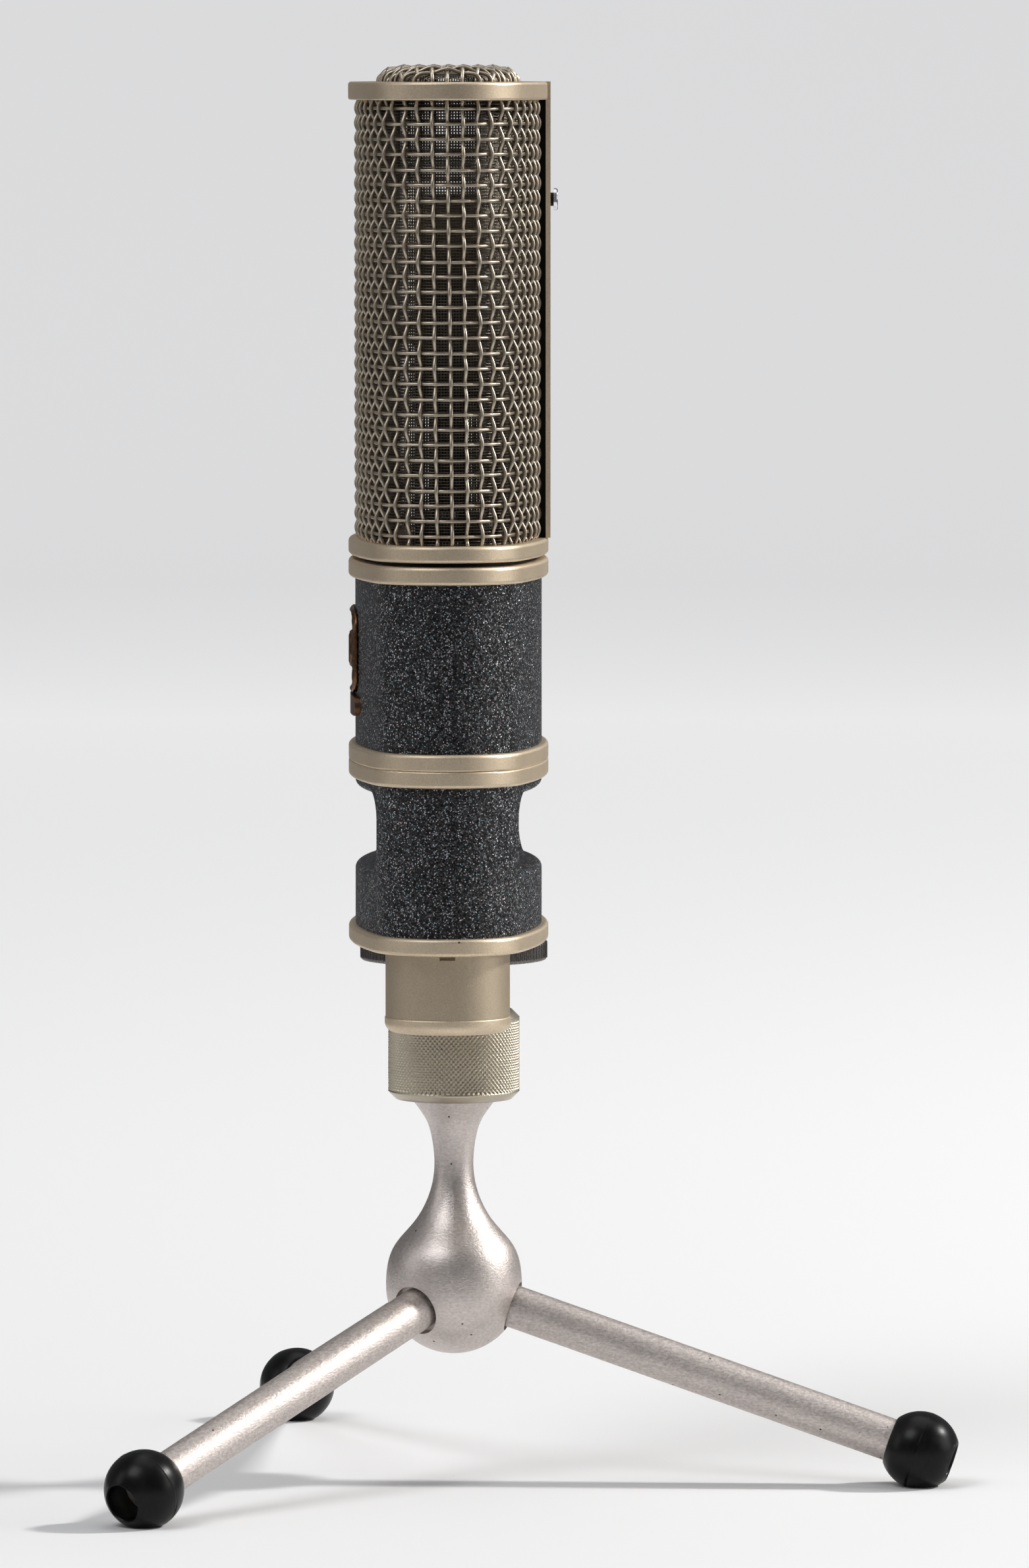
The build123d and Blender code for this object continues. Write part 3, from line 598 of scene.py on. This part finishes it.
def cap_reach(level, axis, inset):
    """How far a straight line at this level runs from the middle before it meets the edge."""
    far = np.linspace(0, HALF_WIDTH if axis == 0 else HALF_DEPTH, 4000)
    fixed = np.full_like(far, level)
    x, y = (far, fixed) if axis == 0 else (fixed, far)
    inside = inside_depth(x, y)[0] >= inset
    return far[inside].max() if inside.any() else 0


def cap_wires(axis, pitch, radius, swing, sunk, points, sides):
    """Straight wires pressed over the cap along X (axis 0) or Y (axis 1)."""
    edge = CAP_INSET + sunk
    span = (HALF_DEPTH if axis == 0 else HALF_WIDTH) - edge
    ranks = np.arange(-int(span / pitch), int(span / pitch) + 1)
    paths, outwards = [], []
    for rank in ranks:
        reach = cap_reach(rank * pitch, axis, edge)
        if reach < pitch:
            continue
        along = reach * np.sin(np.linspace(-math.pi / 2, math.pi / 2, points))
        level = np.full_like(along, rank * pitch)
        x, y = (along, level) if axis == 0 else (level, along)
        z, outward = cap_surface(x, y, sunk)
        sign = (1 if rank % 2 == 0 else -1) * (1 if axis == 0 else -1)
        offset = swing * sign * np.cos(math.pi * along / pitch)
        path = np.stack([x, y, z], axis=-1) + outward * offset[:, None]
        tail = np.linspace(CAP_LOW + radius, z.min(), 4)[:-1]
        low = [np.array([path[0, 0], path[0, 1], t]) for t in tail]
        high = [np.array([path[-1, 0], path[-1, 1], t]) for t in tail[::-1]]
        paths.append(np.array(low + list(path) + high))
        outwards.append(np.array([outward[0]] * 3 + list(outward) + [outward[-1]] * 3))
    return wires(np.array(paths), np.array(outwards), radius, sides)


def woven_cap(pitch, radius, swings, sunk, points, sides):
    """Both sets of wires of a cap. swings and points hold a value for X and one for Y."""
    return joined(
        *(cap_wires(axis, pitch, radius, swings[axis], sunk, points[axis], sides)
          for axis in (0, 1))
    )


CAP_WIRE_R = 0.29 * MM
CAP_PITCH = 2.3 * MM
CAP_SWINGS = (0.34 * MM, 0.24 * MM)
CAP_SUNK = CAP_SWINGS[0] + CAP_WIRE_R
FINE_CAP_PITCH = 0.38 * MM
FINE_CAP_SUNK = 1.32 * MM

cap_cloth = woven_cap(CAP_PITCH, CAP_WIRE_R, CAP_SWINGS, CAP_SUNK, (220, 90), WIRE_SIDES)
basket_piece("cap_weave", cap_cloth, wire_look, "mesh_wire", "top_mesh")
fine_cap = woven_cap(FINE_CAP_PITCH, FINE_R, (0, 0), FINE_CAP_SUNK, (50, 30), 4)
basket_piece("cap_fine_cloth", fine_cap, fine_look_painted_shade, "fine_mesh", "top_mesh")


# ---------------------------------------------------------------- knurled nut, lock ring, post
NUT_LOW, NUT_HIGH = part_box("stand_nut")[0].z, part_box("stand_nut")[1].z
NUT_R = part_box("stand_nut")[1].x
NUT_CHAMFER = 1.2 * MM
KNURL_ROUND = 84
KNURL_PITCH = 0.8 * MM
KNURL_DEPTH = 0.38 * MM
POST_R = 7.94 * MM
STUD_R = 4.76 * MM
GAP = 0.05 * MM
NUT_STEP_Z = 66.5 * MM
LOCK_TEETH = 96
LOCK_TOOTH = 0.22 * MM
LOCK_CHAMFER = 0.3 * MM
THREAD_PITCH = 0.94 * MM
THREAD_DEPTH = 0.35 * MM
POST_BORE_R = 2 * MM
POST_FLANGE = 2 * MM


def knurled_nut():
    """A round nut with a diamond knurl between two smooth chamfers."""
    low, high = NUT_LOW + NUT_CHAMFER, NUT_HIGH - NUT_CHAMFER
    rows = int((high - low) / KNURL_PITCH * 7)
    profile = [(STUD_R + GAP, NUT_LOW)]
    profile += [(NUT_R - NUT_CHAMFER * (1 - t), NUT_LOW + NUT_CHAMFER * t) for t in (0, 0.5, 0.8)]
    profile += [(NUT_R, z) for z in np.linspace(low, high, rows)]
    profile += [(NUT_R - NUT_CHAMFER * t, high + NUT_CHAMFER * t) for t in (0.2, 0.5, 1)]
    profile += [(POST_R + GAP, NUT_HIGH), (POST_R + GAP, NUT_STEP_Z), (STUD_R + GAP, NUT_STEP_Z)]

    def relief(radius, height, angle):
        across = angle * KNURL_ROUND / (2 * math.pi)
        up = (height - low) / KNURL_PITCH
        diamond = np.minimum(ridge(across + up), ridge(across - up))
        fade = np.clip(np.minimum(height - low, high - height) / (0.5 * MM), 0, 1)
        return (radius > NUT_R - GAP) * fade * KNURL_DEPTH * (1 - np.clip(diamond * 1.4, 0, 1))

    return turned(profile, KNURL_ROUND * 7, relief)


def knurled_lock_ring():
    """A thin round nut with straight teeth round its rim."""
    low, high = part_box("lock_ring")
    radius, chamfer = high.x, LOCK_CHAMFER
    profile = [(POST_R + GAP, low.z), (radius - chamfer, low.z), (radius, low.z + chamfer)]
    profile += [(radius, z) for z in np.linspace(low.z + 2 * chamfer, high.z - 2 * chamfer, 5)]
    profile += [(radius, high.z - chamfer), (radius - chamfer, high.z), (POST_R + GAP, high.z)]

    def relief(reach, height, angle):
        rim = np.clip((reach - (radius - chamfer)) / chamfer, 0, 1)
        return rim * LOCK_TOOTH * (1 - ridge(angle * LOCK_TEETH / (2 * math.pi)))

    return turned(profile, LOCK_TEETH * 6, relief)


def threaded_post():
    """The bored post with its fine thread, and the flange inside the base."""
    low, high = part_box("mount_post")
    thread_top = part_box("base_plate")[0].z
    rows = int((thread_top - low.z) / THREAD_PITCH * 6)
    profile = [(POST_BORE_R, low.z), (POST_R - 0.6 * MM, low.z)]
    profile += [(POST_R, z) for z in np.linspace(low.z + 0.6 * MM, thread_top, rows)]
    flange_low = high.z - POST_FLANGE
    profile += [(POST_R, flange_low), (high.x, flange_low), (high.x, high.z)]
    profile.append((POST_BORE_R, high.z))

    def relief(radius, height, angle):
        threaded = (np.abs(radius - POST_R) < GAP) * (height < thread_top - GAP)
        return threaded * THREAD_DEPTH * ridge(height / THREAD_PITCH - angle / (2 * math.pi))

    return turned(profile, 96, relief)


piece("knurled_nut", *knurled_nut(), looks["nut_metal"], "nut", "nut_metal", "stand_nut")
piece(
    "knurled_lock_ring", *knurled_lock_ring(), looks["dark_metal"], "lock_ring", "dark_metal",
    "lock_ring",
)
piece("threaded_post", *threaded_post(), looks["steel"], "microphone", "steel", "mount_post")


# ---------------------------------------------------------------- badge
BADGE_LOW, BADGE_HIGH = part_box("badge_plate")
BADGE_CORNER = 4 * MM
BADGE_RIM = 0.9 * MM
BADGE_FIELD = 0.55 * MM
BADGE_RIM_HIGH = 0.9 * MM
BADGE_KNOB = 3.0 * MM
BADGE_KNOB_HIGH = 1.05 * MM
BODY_R = MIDDLE_Y + FACE_Y - BADGE_LOW.y - BADGE_KNOB_HIGH


def face_y(x, out):
    """Where the body's front face lies at x, moved out of the body by out."""
    return MIDDLE_Y + FACE_Y - np.sqrt((BODY_R + out) ** 2 - x**2)


def badge_height(x, z):
    """Relief of the plate: a rolled rim, a wavy field and a round knob of rings."""
    half_wide, half_high = BADGE_HIGH.x, (BADGE_HIGH.z - BADGE_LOW.z) / 2
    mid = (BADGE_HIGH.z + BADGE_LOW.z) / 2
    over_x = np.maximum(np.abs(x) - (half_wide - BADGE_CORNER), 0)
    over_z = np.maximum(np.abs(z - mid) - (half_high - BADGE_CORNER), 0)
    straight = np.minimum(half_wide - np.abs(x), half_high - np.abs(z - mid))
    rounded = BADGE_CORNER - np.hypot(over_x, over_z)
    from_edge = np.where((over_x > 0) & (over_z > 0), rounded, straight)
    rim = np.clip(1 - np.abs(from_edge / BADGE_RIM - 0.5) * 2, 0, 1) ** 0.5
    from_knob = np.hypot(x, z - mid)
    waves = 0.5 + 0.5 * np.sin(from_edge / (0.32 * MM) + 1.3 * np.sin(x / (1.7 * MM)))
    field = BADGE_FIELD - 0.12 * MM + 0.16 * MM * waves * (from_edge > BADGE_RIM)
    knob = np.clip((BADGE_KNOB - from_knob) / (0.4 * MM), 0, 1)
    rings = 0.07 * MM * (np.cos(from_knob / (0.16 * MM)) - 1)
    height = field + (BADGE_RIM_HIGH - field) * rim
    return height + knob * (BADGE_KNOB_HIGH + rings - height)


def badge():
    """The plate's relief as a grid over its rounded outline, closed by a back on the body."""
    rings, spokes = 70, 360
    half_wide, half_high = BADGE_HIGH.x, (BADGE_HIGH.z - BADGE_LOW.z) / 2
    angle = 2 * math.pi * np.arange(spokes) / spokes
    power = 5.0
    reach = (np.abs(np.cos(angle)) ** power + np.abs(np.sin(angle)) ** power) ** (-1 / power)
    share = np.linspace(0.004, 1, rings)[:, None]
    x = share * half_wide * reach * np.cos(angle)
    z = (BADGE_HIGH.z + BADGE_LOW.z) / 2 + share * half_high * reach * np.sin(angle)
    front = np.stack([x, face_y(x, badge_height(x, z)), z], axis=-1)
    back = np.stack([x, face_y(x, 0.0 * x), z], axis=-1)[::-1]
    vertices = np.concatenate([front, back]).reshape(-1, 3).tolist()
    faces = grid_faces(2 * rings, spokes, close_rows=True, close_columns=True)
    return vertices, faces


piece(
    "badge_relief", *badge(), looks["badge_bronze"], "microphone", "badge_bronze", "badge_plate"
)


# ---------------------------------------------------------------- rubber feet
BALL_Z = 30.1 * MM
FOOT_Z = 5.6 * MM
FOOT_R = 6.12 * MM
LEG_R = 3.35 * MM
COLLAR = 4.9 * MM
BORE_END = 1.0 * MM
HOLE_R = 2.9 * MM
FLASH = 0.05 * MM
CRACK = 0.4 * MM


def arc_points(radius, first, last, count):
    """Points (distance from the leg's axis, place along it) on the foot's round skin."""
    angles = np.linspace(first, last, count)
    return [(radius * math.sin(a), radius * math.cos(a)) for a in angles]


def rubber_foot():
    """A ball with a bore for the leg, an open outer end and a parting line, split below."""
    mouth = math.asin(HOLE_R / FOOT_R)
    collar = math.acos(-COLLAR / FOOT_R)
    skin = arc_points(FOOT_R, mouth + 0.035, collar - 0.03, 120)
    profile = [(LEG_R, -COLLAR + 0.1 * MM), (LEG_R, BORE_END), (HOLE_R, BORE_END)]
    profile += [(HOLE_R, FOOT_R * math.cos(mouth) - 0.5 * MM)]
    profile += [(HOLE_R + 0.1 * MM, FOOT_R * math.cos(mouth) - 0.12 * MM)]
    profile += skin
    profile += [(LEG_R + 0.22 * MM, -COLLAR), (LEG_R + 0.08 * MM, -COLLAR)]

    def relief(radius, height, angle):
        on_skin = np.hypot(radius, height) > FOOT_R - FLASH
        line = np.exp(-((height / (0.12 * MM)) ** 2)) * (0.75 + 0.25 * np.sin(7 * angle))
        torn = (height > 5 * MM) * 0.08 * MM * np.sin(5 * angle) * np.sin(3 * angle + 1)
        under = np.clip(-np.sin(angle) * 1.4, 0, 1) ** 2
        split = CRACK * under * np.exp(-(((height + 0.26 * MM) / (0.13 * MM)) ** 2))
        return torn + on_skin * (split - FLASH * line)

    return turned(profile, 96, relief)


def stand_foot(number):
    """Puts a foot on the end of its leg, flattened where it rests on the floor."""
    pads = {m["name"]: m["pos_m"] for m in frame["record"]["mounts"]}
    middle = Vector(pads[f"foot_{number}_pad"]) + Vector((0, 0, FOOT_Z))
    out = (middle - Vector((0, 0, BALL_Z))).normalized()
    aside = Vector((-out.y, out.x, 0)).normalized()
    axes = np.array([aside, out.cross(aside), out])
    vertices, faces = rubber_foot()
    standing = np.array(vertices) @ axes + np.array(middle)
    standing[:, 2] = np.maximum(standing[:, 2], 0)
    piece(
        f"rubber_foot_{number}", standing.tolist(), faces, looks["foot_rubber"], "tripod",
        "foot_rubber", f"foot_{number}",
    )


for number in (1, 2, 3):
    stand_foot(number)


# ---------------------------------------------------------------- floor, lights and camera
PAPER = (0.86, 0.86, 0.865)
FLOOR_R = 0.35
FLAT_R = 2.8
CURVE_R = 1.2
WALL_TOP = 4.5
GLOW = 0.51


def paper(name):
    """Matt white paper with a glow that makes up for the lamps' falloff far from the object."""
    material, tree, principled = shader(name, PAPER, 0.9)
    fibres = noise(tree, place(tree), 1.5 * MM, detail=3.0)
    bump(tree, principled, fibres, 0.01 * MM)
    where = node(tree, "ShaderNodeTexCoord").outputs["Object"]
    far = node(tree, "ShaderNodeVectorMath", {0: where}, operation="LENGTH")
    growing = node(
        tree, "ShaderNodeMapRange",
        {"Value": far.outputs["Value"], "From Min": 0.1, "From Max": 1.9, "To Min": 0.0,
         "To Max": GLOW},
    )
    principled.inputs["Emission Color"].default_value = (0.99, 0.99, 1.0, 1)
    tree.links.new(growing.outputs[0], principled.inputs["Emission Strength"])
    return material


def paper_ring(name, profile, material):
    """A turned sheet of paper, from a profile of (radius, height) points."""
    columns = 96
    angle = 2 * math.pi * np.arange(columns) / columns
    vertices = [(r * math.cos(a), r * math.sin(a), z) for r, z in profile for a in angle]
    mesh = bpy.data.meshes.new(name)
    mesh.from_pydata(vertices, [], grid_faces(len(profile), columns, close_columns=True))
    mesh.shade_smooth()
    mesh.materials.append(material)
    made = bpy.data.objects.new(name, mesh)
    bpy.context.scene.collection.objects.link(made)
    return made


def sweep():
    """A flat paper floor, and a background that curves up round it on every side.

    Only the floor takes part in the lighting, so the background can't light the object.
    """
    sheet = paper("paper")
    paper_ring("floor", [(r, 0.0) for r in (0.0001, 0.1, FLOOR_R)], sheet)
    profile = [(FLOOR_R, 0.0)]
    profile += [
        (FLAT_R + CURVE_R * math.sin(a), CURVE_R * (1 - math.cos(a)))
        for a in np.linspace(0, math.pi / 2, 24)
    ]
    profile.append((FLAT_R + CURVE_R, WALL_TOP))
    wall = paper_ring("background", profile, sheet)
    wall.visible_diffuse = wall.visible_glossy = wall.visible_shadow = False


MIDDLE = Vector((0, 0, 0.11))


def softbox(name, towards, distance, width, height, power, colour):
    """A soft area light in a direction from the middle of the object, aimed at it."""
    data = bpy.data.lights.new(name, "AREA")
    data.shape, data.size, data.size_y = "RECTANGLE", width, height
    data.energy, data.color = power, colour
    lamp = bpy.data.objects.new(name, data)
    bpy.context.scene.collection.objects.link(lamp)
    direction = Vector(towards).normalized()
    lamp.location = MIDDLE + direction * distance
    lamp.rotation_euler = (-direction).to_track_quat("-Z", "Y").to_euler()


sweep()
softbox("key", (-0.15, 0.80, 0.58), 1.7, 0.16, 0.16, 21.5, (1.0, 0.985, 0.96))
softbox("right", (0.10, 0.97, 0.22), 1.5, 0.9, 0.7, 4.5, (1.0, 0.99, 0.97))
softbox("left", (0.15, -0.95, 0.35), 1.5, 0.5, 0.9, 1.9, (1.0, 0.99, 0.98))
softbox("fill", (0.43, -0.43, 0.79), 1.5, 0.7, 0.7, 7.4, (0.97, 0.98, 1.0))
softbox("top", (-0.2, 0.1, 1.0), 1.8, 1.5, 1.5, 7.7, (0.98, 0.985, 1.0))

world = bpy.data.worlds.new("studio")
bpy.context.scene.world = world
world.use_nodes = True
surroundings = world.node_tree.nodes["Background"]
surroundings.inputs["Color"].default_value = (0.93, 0.94, 0.96, 1)
surroundings.inputs["Strength"].default_value = 0.16

CAMERA_TARGET = Vector((0, 0.0095, 0.1089))
CAMERA_DISTANCE = 1.648
CAMERA_PITCH = math.radians(3.95)
FOCAL_LENGTH_MM, SENSOR_MM = 242, 36

lens = bpy.data.cameras.new("camera")
lens.lens, lens.sensor_width = FOCAL_LENGTH_MM, SENSOR_MM
lens.clip_start, lens.clip_end = 0.05, 50
camera = bpy.data.objects.new("camera", lens)
bpy.context.scene.collection.objects.link(camera)
back = Vector((math.cos(CAMERA_PITCH), 0, math.sin(CAMERA_PITCH)))
camera.location = CAMERA_TARGET + back * CAMERA_DISTANCE
camera.rotation_euler = back.to_track_quat("Z", "Y").to_euler()
bpy.context.scene.camera = camera
bpy.context.scene.view_settings.view_transform = "Standard"
